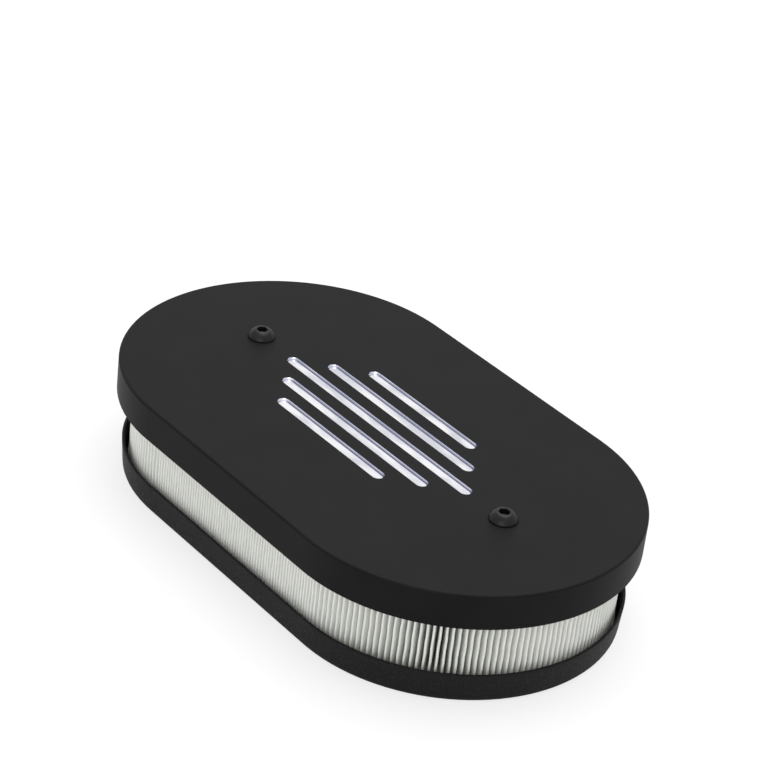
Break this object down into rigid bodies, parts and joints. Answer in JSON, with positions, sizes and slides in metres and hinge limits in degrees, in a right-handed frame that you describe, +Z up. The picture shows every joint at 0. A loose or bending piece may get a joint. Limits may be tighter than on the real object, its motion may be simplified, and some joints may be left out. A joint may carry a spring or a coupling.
{
  "type": "oval carburetor air cleaner",
  "caption": "Oval air cleaner with a pleated paper element between a flanged base tray and a screwed-down cover with a bright slotted inlay.",
  "frame": {"origin": "centre of the base tray's flat underside", "axes": "+X along the long axis of the oval, +Y across it, +Z up from the tray to the cover"},
  "size_m": [0.24, 0.14, 0.0516],
  "materials": {
    "tray_paint": "fine textured black powder coat on sheet metal",
    "cover_paint": "smooth satin black coat",
    "inlay_chrome": "polished bright plate",
    "cap_rubber": "matte black moulded rubber",
    "filter_paper": "resin-treated off-white pleated filter paper",
    "standoff_steel": "dark turned steel tube with a bright rim",
    "screw_black": "black oxide on steel"
  },
  "bodies": {
    "base": {"base_tray": "tray_paint", "standoff_left": "standoff_steel", "standoff_right": "standoff_steel"},
    "element": {"bottom_end_cap": "cap_rubber", "filter_paper": "filter_paper", "top_end_cap": "cap_rubber"},
    "cover": {"cover": "cover_paint", "inlay_plate": "inlay_chrome"},
    "screw_left": {"cover_screw_left": "screw_black"},
    "screw_right": {"cover_screw_right": "screw_black"}
  },
  "joints": [
    {"name": "element_lift", "type": "slide", "parent": "base", "child": "element", "axis": [0, 0, 1], "range_m": [0, 0.071]},
    {"name": "cover_lift", "type": "slide", "parent": "element", "child": "cover", "axis": [0, 0, 1], "range_m": [0, 0.037]},
    {"name": "screw_left_turn", "type": "hinge", "parent": "cover", "child": "screw_left", "pos_m": [-0.075, 0, 0.0482], "axis": [0, 0, 1], "continuous": true},
    {"name": "screw_right_turn", "type": "hinge", "parent": "cover", "child": "screw_right", "pos_m": [0.075, 0, 0.0482], "axis": [0, 0, 1], "continuous": true}
  ]
}
